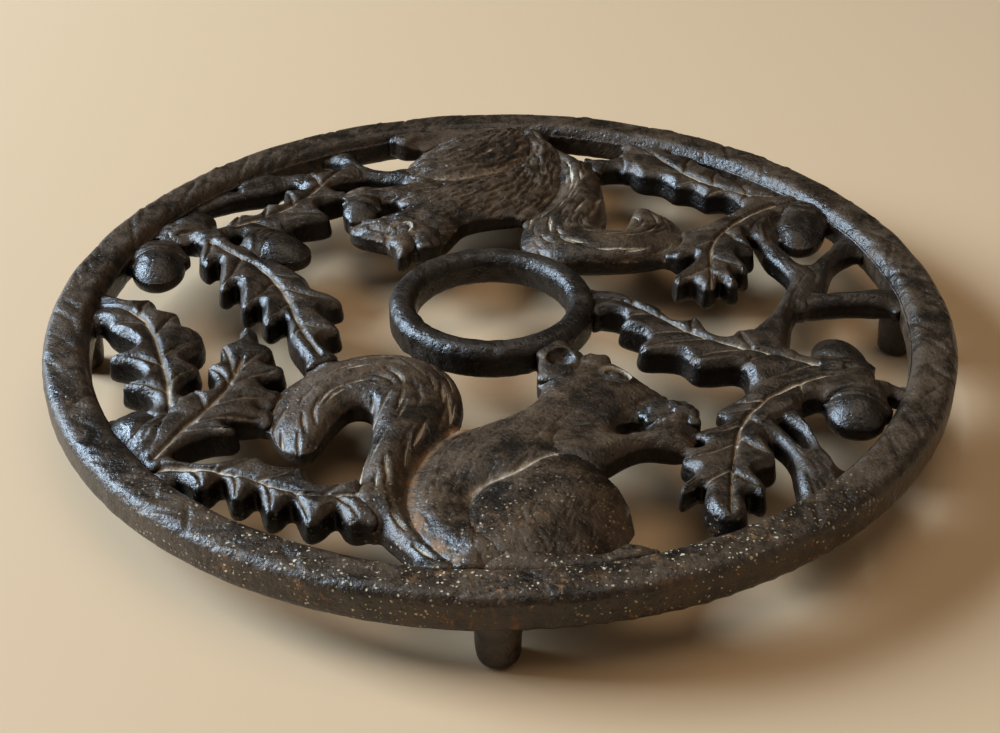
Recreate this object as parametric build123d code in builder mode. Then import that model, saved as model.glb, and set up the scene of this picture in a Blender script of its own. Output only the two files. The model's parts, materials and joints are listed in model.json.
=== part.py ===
# Round cast-iron trivet: two squirrels, oak leaves and acorns between a rim and a centre ring.
# Z is up, the table is z = 0, the trivet's centre is the origin and its front is -Y.
import os
from math import cos, hypot, radians, sin

from build123d import *

# Driving dimensions, in millimetres
rim_outer_radius = 100.0
rim_width = 10.0
rim_height = 8.5
rim_edge_round = 2.4
rim_under_round = 1.2

foot_height = 10.0
foot_top_radius = 4.7
foot_end_radius = 4.2
foot_end_round = 2.0

ring_outer_radius = 23.2
ring_width = 6.4
ring_height = 8.0
ring_edge_round = 2.2
ring_rise = 1.0
ring_shift_x = -1.8
ring_shift_y = 0.0

relief_step = 1.0
leaf_drop = 0.6
leaf_crown_radius = 70.0
twig_drop = 1.2
twig_width = 6.0
twig_crown_radius = 60.0
figure_rise = 0.4
figure_crown_radius = 60.0
haunch_rise = 0.9
haunch_crown_radius = 22.0
limb_drop = 0.3
limb_crown_radius = 9.0
tail_rise = 0.5
tail_crown_radius = 60.0
ear_rise = 0.6
back_ear_drop = 1.8
ear_hollow_radius = 3.2
nut_middle = 0.5
cup_middle = 0.42
cup_share = 0.36
cup_lip = 0.8
dome_spare = 0.8
held_acorn_lift = 2.7

# Each foot: its angle round the rim and how far in from the rim's middle it stands
feet = {"front": (-90.3, 0.0), "right": (4.0, 3.0), "back": (90.0, 0.0), "left": (179.0, 0.0)}

# Places worked out from them
rim_inner_radius = rim_outer_radius - rim_width
rim_bottom = foot_height
rim_top = rim_bottom + rim_height
foot_circle_radius = rim_outer_radius - rim_width / 2
relief_base = rim_bottom + relief_step
ring_top = rim_top + ring_rise


def stretch():
    """How far the ornament, drawn 66.8 deep from ring to rim, is stretched to fill that field."""
    return (rim_inner_radius - ring_outer_radius) / 66.8


def spot(x, y):
    """A point of the ornament, drawn round a ring of radius 23.2, moved out or in with ring and rim."""
    drawn = hypot(x, y)
    reach = ring_outer_radius + (drawn - 23.2) * stretch()
    return (x * reach / drawn, y * reach / drawn)


footprints = {}
pieces = {}


def claim(name, blank):
    """The share of a drawn outline that lies between ring and rim and that no earlier piece holds."""
    box = blank.bounding_box()
    with BuildSketch() as share:
        add(blank)
        Circle(rim_inner_radius, mode=Mode.INTERSECT)
        with Locations((ring_shift_x, ring_shift_y)):
            Circle(ring_outer_radius, mode=Mode.SUBTRACT)
        for other in footprints.values():
            near = other.bounding_box()
            apart_x = near.min.X > box.max.X or near.max.X < box.min.X
            apart_y = near.min.Y > box.max.Y or near.max.Y < box.min.Y
            if not (apart_x or apart_y):
                add(other, mode=Mode.SUBTRACT)
    footprints[name] = share.faces().sort_by(SortBy.AREA)[-1]
    return footprints[name]


def member(name, outline, heel, toe, top, crown_radius):
    """A member with upright walls round a smooth outline, its top arched about heel to toe."""
    start = Vector(*spot(*heel))
    end = Vector(*spot(*toe))
    middle = (start + end) / 2
    arch = Plane(origin=(middle.X, middle.Y, top - crown_radius), z_dir=end - start)
    with BuildSketch() as drawn:
        with BuildLine():
            Spline(*[spot(x, y) for x, y in outline], periodic=True)
        make_face()
    with BuildPart() as body:
        with BuildSketch(Plane.XY.offset(relief_base)):
            add(claim(name, drawn.sketch.face()))
        extrude(amount=top - relief_base)
        with Locations(arch):
            Cylinder(crown_radius, 2 * rim_outer_radius, mode=Mode.INTERSECT)
    pieces[name] = body.part


def ribbon(path, width):
    """The outline of a twig: its path, half a width to either side."""
    left = []
    right = []
    for index, (x, y) in enumerate(path):
        before = path[max(index - 1, 0)]
        after = path[min(index + 1, len(path) - 1)]
        run = hypot(after[0] - before[0], after[1] - before[1])
        side_x = -(after[1] - before[1]) / run * width / 2
        side_y = (after[0] - before[0]) / run * width / 2
        left.append((x + side_x, y + side_y))
        right.append((x - side_x, y - side_y))
    return left + right[::-1]


def acorn(name, cup_end, tip, nut_radius, lift=0.0):
    """An acorn lying on its side: an egg-shaped nut and the cup that holds its thick end."""
    radius = nut_radius * stretch()
    start = Vector(*spot(*cup_end))
    end = Vector(*spot(*tip))
    length = (end - start).length
    lie = Plane(origin=(start.X, start.Y, 0), x_dir=end - start, z_dir=(0, 0, 1))
    with BuildSketch(lie) as nut_drawn:
        with Locations((length * nut_middle, 0)):
            Ellipse(length * (1 - nut_middle), radius)
    with BuildSketch(lie) as cup_drawn:
        with Locations((length * cup_middle, 0)):
            Ellipse(length * cup_middle + cup_lip, radius + cup_lip)
        with Locations((length * cup_share, 0)):
            Rectangle(2 * length, 4 * radius, mode=Mode.SUBTRACT, align=(Align.MIN, Align.CENTER))
    for part_name, drawn, middle, swell in (
        ("_cup", cup_drawn, cup_middle, cup_lip), ("_nut", nut_drawn, nut_middle, 0)
    ):
        half = max(middle, 1 - middle) * length + swell + dome_spare
        with BuildPart() as body:
            with BuildSketch(Plane.XY.offset(relief_base)):
                add(claim(name + part_name, drawn.sketch.face()))
            extrude(amount=2 * radius)
            axle = Axis((start.X, start.Y, relief_base + lift), end - start)
            with BuildSketch(Plane(origin=axle.position, x_dir=axle.direction, z_dir=(0, 0, 1))):
                with Locations((length * middle, 0)):
                    Ellipse(half, radius + swell + dome_spare)
                    Rectangle(3 * half, 3 * half, mode=Mode.SUBTRACT, align=(Align.CENTER, Align.MAX))
            revolve(axis=axle, mode=Mode.INTERSECT)
        pieces[name + part_name] = body.part


def hollow_ear(name, x, y, top):
    """Scoop the hollow out of an ear's top."""
    with BuildPart() as ear:
        add(pieces[name])
        with Locations((*spot(x, y), top)):
            Sphere(ear_hollow_radius, mode=Mode.SUBTRACT)
    pieces[name] = ear.part


# Rim
with BuildPart() as rim:
    with BuildSketch(Plane.XZ) as rim_section:
        with Locations((foot_circle_radius, rim_bottom + rim_height / 2)):
            Rectangle(rim_width, rim_height)
        fillet(rim_section.vertices().group_by(Axis.Y)[-1], rim_edge_round)
        fillet(rim_section.vertices().group_by(Axis.Y)[0], rim_under_round)
    revolve(axis=Axis.Z)
pieces["rim"] = rim.part

# Centre ring
with BuildPart() as centre_ring:
    with BuildSketch(Plane.XZ) as ring_section:
        with Locations((ring_outer_radius - ring_width / 2, ring_top - ring_height / 2)):
            Rectangle(ring_width, ring_height)
        fillet(ring_section.vertices().group_by(Axis.Y)[-1], ring_edge_round)
    revolve(axis=Axis.Z)
pieces["centre_ring"] = centre_ring.part.moved(Location((ring_shift_x, ring_shift_y, 0)))

# Feet under the rim
for side, (angle, inset) in feet.items():
    with BuildPart() as foot:
        with BuildSketch(Plane.XZ):
            with BuildLine():
                Polyline(
                    (0, rim_bottom),
                    (foot_top_radius, rim_bottom),
                    (foot_end_radius, foot_end_round),
                )
                ThreePointArc(
                    (foot_end_radius, foot_end_round),
                    (foot_end_radius - foot_end_round * 0.35, foot_end_round * 0.3),
                    (foot_end_radius - foot_end_round, 0),
                )
                Polyline((foot_end_radius - foot_end_round, 0), (0, 0), (0, rim_bottom))
            make_face()
        revolve(axis=Axis.Z)
    turned = radians(angle)
    reach = foot_circle_radius - inset
    stand = Location((reach * cos(turned), reach * sin(turned), 0))
    pieces["foot_" + side] = foot.part.moved(stand)

# Front squirrel
figure_top = rim_top + figure_rise
limb_top = rim_top - limb_drop
ear_top = rim_top + ear_rise
member("front_squirrel_haunch",
    [(-6, -71), (-3, -65.5), (2, -63.5), (6, -60.6), (10, -58.2), (14, -57.9), (18, -59.4),
     (21.5, -63), (24.2, -69), (25.3, -75.5), (24, -81), (19, -84.5), (10, -86), (0, -86), (-5.5, -79)],
    (0, -86), (14, -58), rim_top + haunch_rise, haunch_crown_radius)
member("front_squirrel_tail",
    [(-8, -88), (-12.5, -82), (-15.5, -76), (-17, -69), (-16.8, -62), (-14, -54), (-10.5, -48),
     (-8, -41.5), (-7.6, -35), (-9, -28.5), (-12, -23.5), (-17, -20.4), (-24, -19.4), (-31, -20.2),
     (-37, -22.5), (-42, -26.5), (-45.5, -31.5), (-47.3, -38), (-46.8, -44), (-44.5, -49.5),
     (-41, -53), (-38, -53.5), (-35.8, -50.5), (-34.3, -46), (-32.2, -41.5), (-29.5, -38.5),
     (-26.8, -39.5), (-26, -43), (-25.8, -49), (-26.5, -56), (-27.5, -63), (-27, -69.5), (-24, -75.5),
     (-19.5, -81.5), (-15.5, -87), (-11, -92)],
    (-20, -88), (-27.5, -22), rim_top + tail_rise, tail_crown_radius)
member("front_squirrel_hind_foot",
    [(-4, -90), (4, -86), (12, -84), (19, -82.8), (24, -83), (27.5, -84.8), (28, -88), (22, -91),
     (10, -93)],
    (-4, -88), (28, -86), limb_top, limb_crown_radius)
member("front_squirrel_foreleg",
    [(10, -53), (14, -47.5), (19, -47.6), (24, -48.6), (28, -47.8), (31, -44.3), (34.5, -42.8),
     (37.8, -44.8), (38.8, -49), (37.5, -53), (33, -53.6), (29, -53), (25.5, -54.5), (22, -57.5),
     (18, -60), (13, -59)],
    (13, -54), (38, -48), limb_top, 2 * limb_crown_radius)
acorn("front_squirrel_acorn", (39, -44.6), (28.9, -39.8), 4.2, held_acorn_lift)
member("front_squirrel_near_ear",
    [(8, -29), (7.9, -24.2), (9.6, -20), (12.6, -18), (15.6, -20), (17, -23.6), (16.4, -28),
     (12.5, -30.8)],
    (12.5, -30.8), (12.6, -18), ear_top, limb_crown_radius)
hollow_ear("front_squirrel_near_ear", 12.9, -24.4, ear_top)
member("front_squirrel_far_ear",
    [(16.6, -25), (17.2, -21.8), (18.7, -20.2), (20.6, -21.2), (22.4, -24.4), (19.5, -27)],
    (19.5, -27), (18.7, -20.2), rim_top, limb_crown_radius)
member("front_squirrel_torso",
    [(-12, -86), (-15.5, -78), (-17, -69), (-16, -60), (-12.5, -51.5), (-6, -45.5), (1, -42),
     (6, -38.3), (8.3, -33.5), (9.2, -28), (11.5, -23.8), (16, -21.9), (20.5, -21.6), (24.5, -23.6),
     (28.3, -28), (32, -32.3), (34.8, -35.6), (33.5, -38.6), (30.4, -41.4), (27.2, -43), (24.2, -45),
     (22.4, -48.6), (20, -55), (17, -63), (14, -74), (8, -84), (-2, -91)],
    (-6, -88), (22, -24), figure_top, figure_crown_radius)

# Back squirrel
member("back_squirrel_haunch",
    [(-24, 68), (-22.8, 63.5), (-18, 60.6), (-12, 60.2), (-6, 62.6), (0, 66.5), (5, 72), (7, 80),
     (4, 87), (-4, 88.6), (-12, 87), (-18, 84), (-22, 78.5), (-24, 73)],
    (2, 86), (-18, 61), rim_top + haunch_rise, haunch_crown_radius)
member("back_squirrel_tail",
    [(11, 92), (15, 84), (19.5, 77.5), (24, 71), (26, 63), (26.6, 55), (26.8, 47), (25.6, 40),
     (25.3, 36.2), (28, 35), (30.6, 38), (32.2, 43.5), (35, 48.6), (39, 47.2), (43, 43.2), (45, 37.5),
     (44.8, 31.5), (42.5, 26), (37, 22.8), (30, 21.2), (22, 20.6), (15, 20.8), (9, 23), (5.6, 29),
     (5.2, 37), (7, 43), (11, 48), (14.4, 55), (15.4, 64), (15.2, 74), (12, 83), (7, 91)],
    (18, 88), (25, 22), rim_top + tail_rise, tail_crown_radius)
member("back_squirrel_hind_foot",
    [(-29, 91), (-28.8, 85), (-26, 82.2), (-20, 83), (-13, 86), (-4, 88), (4, 90), (0, 95), (-15, 96)],
    (-28, 86), (2, 90), limb_top, limb_crown_radius)
member("back_squirrel_foreleg",
    [(-15, 58), (-21, 61), (-26, 58.8), (-30, 57.3), (-34, 58), (-37.6, 56.6), (-39.3, 53.6),
     (-38, 51.2), (-34, 51.4), (-30, 50.8), (-25, 49.6), (-20, 49), (-16, 52)],
    (-16, 55), (-38, 54), limb_top, 2 * limb_crown_radius)
acorn("back_squirrel_acorn", (-32.8, 51), (-36.4, 41), 4.0, held_acorn_lift)
member("back_squirrel_near_ear",
    [(-15.2, 33), (-15.2, 28.4), (-16.2, 25.6), (-17.8, 25.6), (-19, 28.6), (-19.2, 33), (-17.2, 35)],
    (-17.2, 35), (-17, 25.4), ear_top - back_ear_drop, limb_crown_radius)
member("back_squirrel_far_ear",
    [(-21.2, 30), (-21.2, 25.4), (-22.2, 22.8), (-23.7, 22.6), (-24.8, 25), (-25, 30), (-23, 32)],
    (-23, 32), (-23, 22.6), rim_top - back_ear_drop, limb_crown_radius)
member("back_squirrel_torso",
    [(9, 91), (13, 82), (15, 73), (15.2, 63), (14.2, 54), (11, 47.5), (4, 44.3), (-3, 42.6), (-8, 40),
     (-10.8, 35), (-13, 30.6), (-16.5, 27.6), (-20.5, 27), (-24.4, 28.6), (-27.4, 30.6), (-31, 32.2),
     (-35, 34.4), (-36.6, 37.8), (-35, 41.2), (-31, 42.8), (-27, 44.2), (-24, 47), (-23.5, 51),
     (-22, 56), (-18, 62), (-10, 72), (-4, 84), (2, 92)],
    (6, 88), (-22, 32), figure_top, figure_crown_radius)

# Oak leaves
leaf_top = rim_top - leaf_drop
oak_leaves = {
    "left_upper_leaf": (
        (-67, -41), (-90, 1),
        [(-66.6, -42), (-65, -38), (-65.8, -33.4), (-64.6, -30.4), (-63.2, -27.4), (-63.8, -23.6),
         (-66.4, -21.8), (-64.6, -18.8), (-63.9, -14.6), (-65.2, -10), (-67.2, -7.9), (-69.6, -7.2),
         (-70.8, -4), (-72.4, -1.2), (-75.4, -1.4), (-77, 1.6), (-79, 3.7), (-82.2, 2.5), (-87.5, 5.6),
         (-93, 5), (-93.5, -3), (-88.4, -6), (-85.2, -10.6), (-81.2, -14), (-78.8, -17), (-80.2, -19),
         (-83.2, -20.4), (-83.4, -22), (-79.6, -24.2), (-75.8, -27), (-75, -29.2), (-77.8, -30.6),
         (-78.6, -32), (-75.4, -34.4), (-72, -36.6), (-71, -39), (-70.6, -41.6)]),
    "left_middle_leaf": (
        (-67, -55), (-54, -9),
        [(-68.4, -59), (-67.4, -50), (-66.3, -42), (-64.6, -36), (-62.8, -33.4), (-60.2, -33.8),
         (-59.8, -30.8), (-61.2, -27.6), (-61.8, -24.8), (-59.7, -23.4), (-60.2, -19.4), (-60, -16.8),
         (-58.6, -15.9), (-56.9, -15.2), (-57.2, -11.8), (-55.9, -10), (-54, -10), (-52.2, -12.4),
         (-51.4, -16), (-49.8, -16.6), (-48.3, -18.4), (-48.2, -21.4), (-49.2, -23.6), (-47.6, -24.3),
         (-45.6, -24.8), (-45, -27), (-46.4, -29.4), (-48.8, -30.2), (-47.4, -32.4), (-45.8, -34.6),
         (-46.4, -37.4), (-48.8, -38.8), (-47, -40.6), (-46.8, -43.2), (-50, -44.4), (-54.6, -45.8),
         (-52.2, -47.2), (-52.4, -49), (-56, -50.2), (-59.8, -51.6), (-63.8, -55.4), (-65.6, -58.6)]),
    "left_rim_leaf": (
        (-70, -60), (-25, -70),
        [(-71, -60), (-63, -57.6), (-55.6, -58.4), (-46.6, -56.5), (-43.6, -59.2), (-37.4, -60),
         (-35.4, -64.6), (-30, -65.2), (-24, -66), (-21, -72), (-24.5, -77.6), (-28.6, -77.2),
         (-30.8, -73.6), (-33, -76.6), (-35.4, -77.6), (-37.4, -75), (-39.4, -71), (-41.2, -73.8),
         (-43, -74.4), (-45, -71), (-46.4, -67.6), (-48.2, -70.2), (-50, -70.6), (-51.8, -67.4),
         (-53.4, -64), (-55.2, -66.8), (-57, -67.4), (-60, -65), (-63, -63), (-68, -63.5)]),
    "left_back_leaf": (
        (-74, 33), (-40, 66),
        [(-79, 34), (-74, 37), (-67.8, 37.4), (-63.4, 42.6), (-60.3, 42.2), (-57.6, 48.4), (-55, 47.4),
         (-53.8, 56), (-50.8, 55.4), (-48, 64.8), (-44.8, 65.6), (-41, 69), (-37, 67), (-36.6, 62),
         (-42.3, 57), (-38.8, 51.6), (-44.3, 47.2), (-41.2, 41.4), (-50, 37), (-57, 35.6), (-62, 33.4),
         (-69, 30.4), (-76, 31)]),
    "left_inner_leaf": (
        (-68, 28), (-38, -21),
        [(-71.4, 29.5), (-71.2, 24), (-70, 18.8), (-67.8, 17.2), (-66.2, 19.4), (-65.2, 15),
         (-64.6, 9.4), (-63.4, 6.2), (-61.6, 6.4), (-60.4, 10), (-59.4, 6), (-58.6, 0.8), (-57.2, -2),
         (-55.2, -1.6), (-54.2, 1.6), (-53.4, -2), (-52.8, -6.4), (-51, -8.8), (-49, -7.8), (-48, -6),
         (-46.6, -11), (-45, -16.4), (-42.8, -20.6), (-40.5, -23.8), (-37.4, -24.8), (-35.4, -22.2),
         (-36.8, -18), (-38.2, -15.4), (-36.8, -13.2), (-34.8, -12), (-35, -9), (-37.2, -6),
         (-39, -3.4), (-38, -1.2), (-35.4, 0.4), (-35.8, 3.8), (-38.6, 6.4), (-41.8, 7.6), (-43.2, 10),
         (-44.4, 13), (-48.4, 17.2), (-55, 21.6), (-61, 26.4), (-66, 31)]),
    "right_rim_leaf": (
        (74, 50), (38, 80),
        [(77, 53), (70, 53.4), (66, 54.6), (61.8, 58.2), (58.6, 60), (56.6, 64.8), (53.4, 66.8),
         (51.2, 72.8), (47.2, 74), (44, 81), (38, 84.5), (33.6, 83), (32.6, 75), (33.6, 67),
         (36.6, 62.2), (41.4, 60.6), (44.5, 56.2), (48.5, 55.2), (52, 51.2), (56, 51.4), (60.4, 47.8),
         (66, 47.6), (72, 47.6)]),
    "right_back_leaf": (
        (70, 46), (48, 8),
        [(73, 50), (62, 47.2), (54.6, 41.8), (49.6, 38), (45.8, 36), (42.2, 30.5), (40, 24),
         (42.4, 21), (45.6, 22.4), (43.4, 17), (39.6, 11), (40.8, 8), (44, 9.8), (45, 8), (46.4, 5.6),
         (49, 6.6), (50.6, 11), (52.4, 7), (54.6, 8), (54, 14.6), (56.4, 13), (58, 15.6), (57, 21),
         (59.2, 21.6), (60.2, 27), (59.8, 33), (63, 39), (70, 44.4)]),
    "right_front_leaf": (
        (76, -30), (44, -72),
        [(85, -33), (77, -28.6), (68, -27.4), (60, -29), (54, -31.4), (47.6, -36), (44, -40.2),
         (45.2, -43.4), (39.6, -47.8), (40, -51.8), (36.6, -54.6), (35.2, -58.4), (37, -61),
         (34.2, -65), (34.2, -68.6), (38.6, -65.4), (37.8, -70), (38.6, -74.4), (41, -77), (44, -76.8),
         (46.2, -73.6), (46.9, -68.8), (49, -70.2), (50.6, -67), (49.6, -62), (52.6, -60.6),
         (53.8, -57.6), (52.6, -51.4), (52, -46), (57, -41.6), (63, -37.6), (70, -34.6), (78, -34.6)]),
    "right_inner_leaf": (
        (66, -24), (23, 3),
        [(18, 4.6), (25, 5.2), (28.8, 3.6), (32.5, 0.3), (36.2, -2.4), (38, -6.2), (40.2, -7.4),
         (43, -5.2), (44.9, -8.8), (46.8, -13), (49.2, -14), (51.6, -10.6), (54.4, -12), (57, -15.4),
         (62, -18.4), (68, -22), (72, -26), (66, -31), (58, -32), (52, -31), (50.6, -26.4),
         (46, -26.4), (40.6, -25.4), (38.6, -22), (36, -21), (29.8, -19.8), (29.6, -17.2),
         (31.6, -14.8), (26, -9.2), (27.2, -6.4), (23.4, -4), (18, -3)]),
}
for name, (stalk, point, outline) in oak_leaves.items():
    member(name, outline, stalk, point, leaf_top, leaf_crown_radius)

# Acorns, each from the middle of its cup to the tip of its nut, with the nut's radius
acorns = {
    "left_front_acorn": ((-66, -49), (-79.5, -43), 6.2),
    "left_rim_acorn": ((-81.5, 30), (-79.6, 13.4), 6.2),
    "left_far_acorn": ((-80, 32), (-72, 46.5), 5.6),
    "left_inner_acorn": ((-60.5, 32.5), (-45.4, 26), 6.0),
    "right_back_acorn": ((76, 49), (71.2, 28.6), 6.2),
    "right_far_acorn": ((73, -30), (72.2, -11.2), 5.9),
    "right_rim_acorn": ((74.4, -33.2), (71, -45.6), 6.2),
}
for name, (cup_end, tip, nut_radius) in acorns.items():
    acorn(name, cup_end, tip, nut_radius)

# Twigs that tie the ornament to the rim, each with its share of the twig width and its middle line
twigs = {
    "left_front_twig": (1.0, [(-73, -63), (-69, -55), (-67, -47), (-67, -38)]),
    "left_back_lower_twig": (1.0, [(-84, 50), (-73, 52.5), (-64, 57), (-57, 61)]),
    "left_back_upper_twig": (1.0, [(-67, 65), (-60, 62.6), (-54, 62.6), (-47, 62)]),
    "back_twig": (1.0, [(-44, 83), (-40, 75), (-35.5, 67.6), (-29, 65.2), (-21, 65)]),
    "back_link_twig": (1.0, [(23, 70), (28, 70.6), (36, 71.6)]),
    "right_back_twig": (1.0, [(65, 42), (64, 32), (66, 22), (69.4, 13), (66.4, 4), (62, -5), (57, -17)]),
    "right_upper_twig": (1.0, [(69, 10), (75, 18), (81, 26), (87, 33)]),
    "right_lower_twig": (1.0, [(66, 5), (74, 3.4), (83, 4), (94, 6)]),
    "right_front_twig": (0.8, [(52, -43), (56, -50), (58.8, -58), (61.4, -70)]),
    "right_front_far_twig": (0.6, [(57, -38), (60.8, -46), (62.4, -54), (65.4, -68)]),
}
for name, (share, path) in twigs.items():
    blank = ribbon(path, twig_width * share)
    member(name, blank, path[0], path[-1], rim_top - twig_drop, twig_crown_radius)

os.makedirs("parts", exist_ok=True)
for name, piece in pieces.items():
    piece.label = name
    export_step(piece, f"parts/{name}.step")
print(len(pieces), "pieces")
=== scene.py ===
import json
import math
import random

import bpy
import numpy as np
from mathutils import Matrix, Vector, kdtree


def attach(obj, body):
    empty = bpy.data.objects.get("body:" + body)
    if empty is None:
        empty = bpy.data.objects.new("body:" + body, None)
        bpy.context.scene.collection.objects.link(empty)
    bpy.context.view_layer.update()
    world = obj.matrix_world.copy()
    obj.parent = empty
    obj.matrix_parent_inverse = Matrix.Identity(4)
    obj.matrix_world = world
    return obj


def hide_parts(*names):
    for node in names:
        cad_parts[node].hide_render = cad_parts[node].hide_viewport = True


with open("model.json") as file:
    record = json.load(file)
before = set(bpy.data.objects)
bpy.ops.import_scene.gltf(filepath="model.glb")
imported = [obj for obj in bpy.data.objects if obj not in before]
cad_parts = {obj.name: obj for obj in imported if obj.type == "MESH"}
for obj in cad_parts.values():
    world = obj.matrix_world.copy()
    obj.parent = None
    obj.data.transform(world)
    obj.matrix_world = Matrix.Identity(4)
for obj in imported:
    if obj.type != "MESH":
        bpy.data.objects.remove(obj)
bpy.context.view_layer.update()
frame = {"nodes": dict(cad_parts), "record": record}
mm = 0.001
print("stage: frame loaded,", len(frame["nodes"]), "members")

cast = {}  # member name -> its finished object

# Blanks: each member's solid as one even skin
blankLook = {"weld": 0.00001, "softFactor": 0.5}


def castBlank(node, voxel, soften):
    source = frame["nodes"][node]
    piece = bpy.data.objects.new(node + "_cast", source.data.copy())
    bpy.context.scene.collection.objects.link(piece)
    piece.data.materials.clear()
    bpy.ops.object.select_all(action="DESELECT")
    piece.select_set(True)
    bpy.context.view_layer.objects.active = piece
    bpy.ops.object.mode_set(mode="EDIT")
    bpy.ops.mesh.select_all(action="SELECT")
    bpy.ops.mesh.remove_doubles(threshold=blankLook["weld"])
    bpy.ops.object.mode_set(mode="OBJECT")
    skin = piece.modifiers.new("skin", "REMESH")
    skin.mode = "VOXEL"
    skin.voxel_size = voxel * mm
    bpy.ops.object.modifier_apply(modifier="skin")
    soft = piece.modifiers.new("soft", "SMOOTH")
    soft.factor = blankLook["softFactor"]
    soft.iterations = soften
    bpy.ops.object.modifier_apply(modifier="soft")
    bpy.ops.object.shade_smooth()
    cast[node] = piece


# Points are read and carved in millimetres
def readPoints(piece):
    flat = np.empty(len(piece.data.vertices) * 3)
    piece.data.vertices.foreach_get("co", flat)
    return flat.reshape(-1, 3) / mm


def readNormals(piece):
    flat = np.empty(len(piece.data.vertices) * 3)
    piece.data.vertex_normals.foreach_get("vector", flat)
    return flat.reshape(-1, 3)


def startPiece(node):
    piece = cast[node]
    return piece, readPoints(piece), readNormals(piece)


def writeMask(piece, name, values):
    mask = piece.data.attributes.new(name, "FLOAT", "POINT")
    mask.data.foreach_set("value", np.clip(values, 0, 1))


# Carving
lumpLook = {"waves": 7, "stretch": (0.6, 1.6), "phase": 6.3}


def ease(values, low, high):
    share = np.clip((values - low) / (high - low), 0, 1)
    return share * share * (3 - 2 * share)


def lumps(points, size, seed):
    dice = random.Random(seed)
    total = np.zeros(len(points))
    for turn in range(lumpLook["waves"]):
        way = np.array([dice.uniform(-1, 1), dice.uniform(-1, 1), dice.uniform(-1, 1)])
        way *= 2 * math.pi / (np.linalg.norm(way) * size * dice.uniform(*lumpLook["stretch"]))
        total += np.sin(points @ way + dice.uniform(0, lumpLook["phase"]))
    return total / lumpLook["waves"]


def heading(turn):
    return np.array([math.cos(turn), math.sin(turn)])


# How two members run together: how far the crease reaches, its depth, its rust and its dust
creaseLook = {
    "tail torso": (3.4, 1.3, 1.0, 0.62),
    "haunch torso": (1.8, 1.0, 0.6, 0.95),
    "foreleg torso": (1.2, 0.0, 0.0, 0.0),
    "ear torso": (1.0, 0.2, 0.3, 0.0),
    "foot haunch": (1.8, 0.4, 0.2, 0.0),
    "foot rim": (1.4, 0.1, 0.1, 0.0),
    "cup nut": (0.9, 0.3, 0.45, 0.3),
    "leaf leaf": (1.6, 0.5, 0.3, 0.3),
    "leaf twig": (1.6, 0.3, 0.35, 0.2),
    "twig twig": (1.2, 0.15, 0.2, 0.0),
    "leaf rim": (1.6, 0.5, 0.4, 0.3),
    "others": (1.5, 0.35, 0.4, 0.2),
}
haunchFade = (66, 80)  # from the middle outward, the crease round a haunch dies out here
backCrease = {"haunchReach": 2.0, "haunchDepth": 1.1, "haunchDust": 0.9, "rust": 0.3, "dust": 0.4}
# How far the first member dips under the second where they meet
dipsBelow = {("tail", "torso"): 0.8, ("foreleg", "torso"): 0.25}
backDipsBelow = {**dipsBelow, ("torso", "haunch"): 1.0}
wallLook = {
    "level": (13.2, 14.0),  # the heights between which walls are looked for
    "steep": 0.55,
    "crown": 0.6,
    "touch": 0.9,
    "tailTouch": 2.6,
    "blend": 6.5,
    "sink": 1.2,
    "underRim": 1.3,  # leaves and twigs step down this far at the rim
    "unmoved": ("rim", "centre_ring"),
}
nowhere = (9999, 9999)  # stands in for an edge that a member hasn't got
noCrease = (1, 0, 0, 0, 0, 0)
walls = {}  # member name -> its free edge, its shared edge and the creases there


def kindOf(node):
    return node.split("_")[-1]


def creaseFor(node, other, x, y):
    words = " ".join(sorted((kindOf(node), kindOf(other))))
    reach, depth, rust, dust = creaseLook.get(words, creaseLook["others"])
    atBack = node.startswith("back")
    if words == "haunch torso":
        fade = 1 - ease(math.hypot(x, y), *haunchFade)
        if atBack:
            reach, depth = backCrease["haunchReach"], backCrease["haunchDepth"]
            dust *= backCrease["haunchDust"]
        return reach, depth * fade, rust * fade, dust * fade
    if atBack:
        return reach, depth, rust * backCrease["rust"], dust * backCrease["dust"]
    return reach, depth, rust, dust


def touchFor(node, other):
    tailed = {kindOf(node), kindOf(other)} == {"tail", "torso"}
    return wallLook["tailTouch"] if tailed else wallLook["touch"]


def plantTree(spots):
    tree = kdtree.KDTree(max(len(spots), 1))
    for index, (x, y) in enumerate(spots if len(spots) else [nowhere]):
        tree.insert((x, y, 0), index)
    tree.balance()
    return tree


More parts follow.
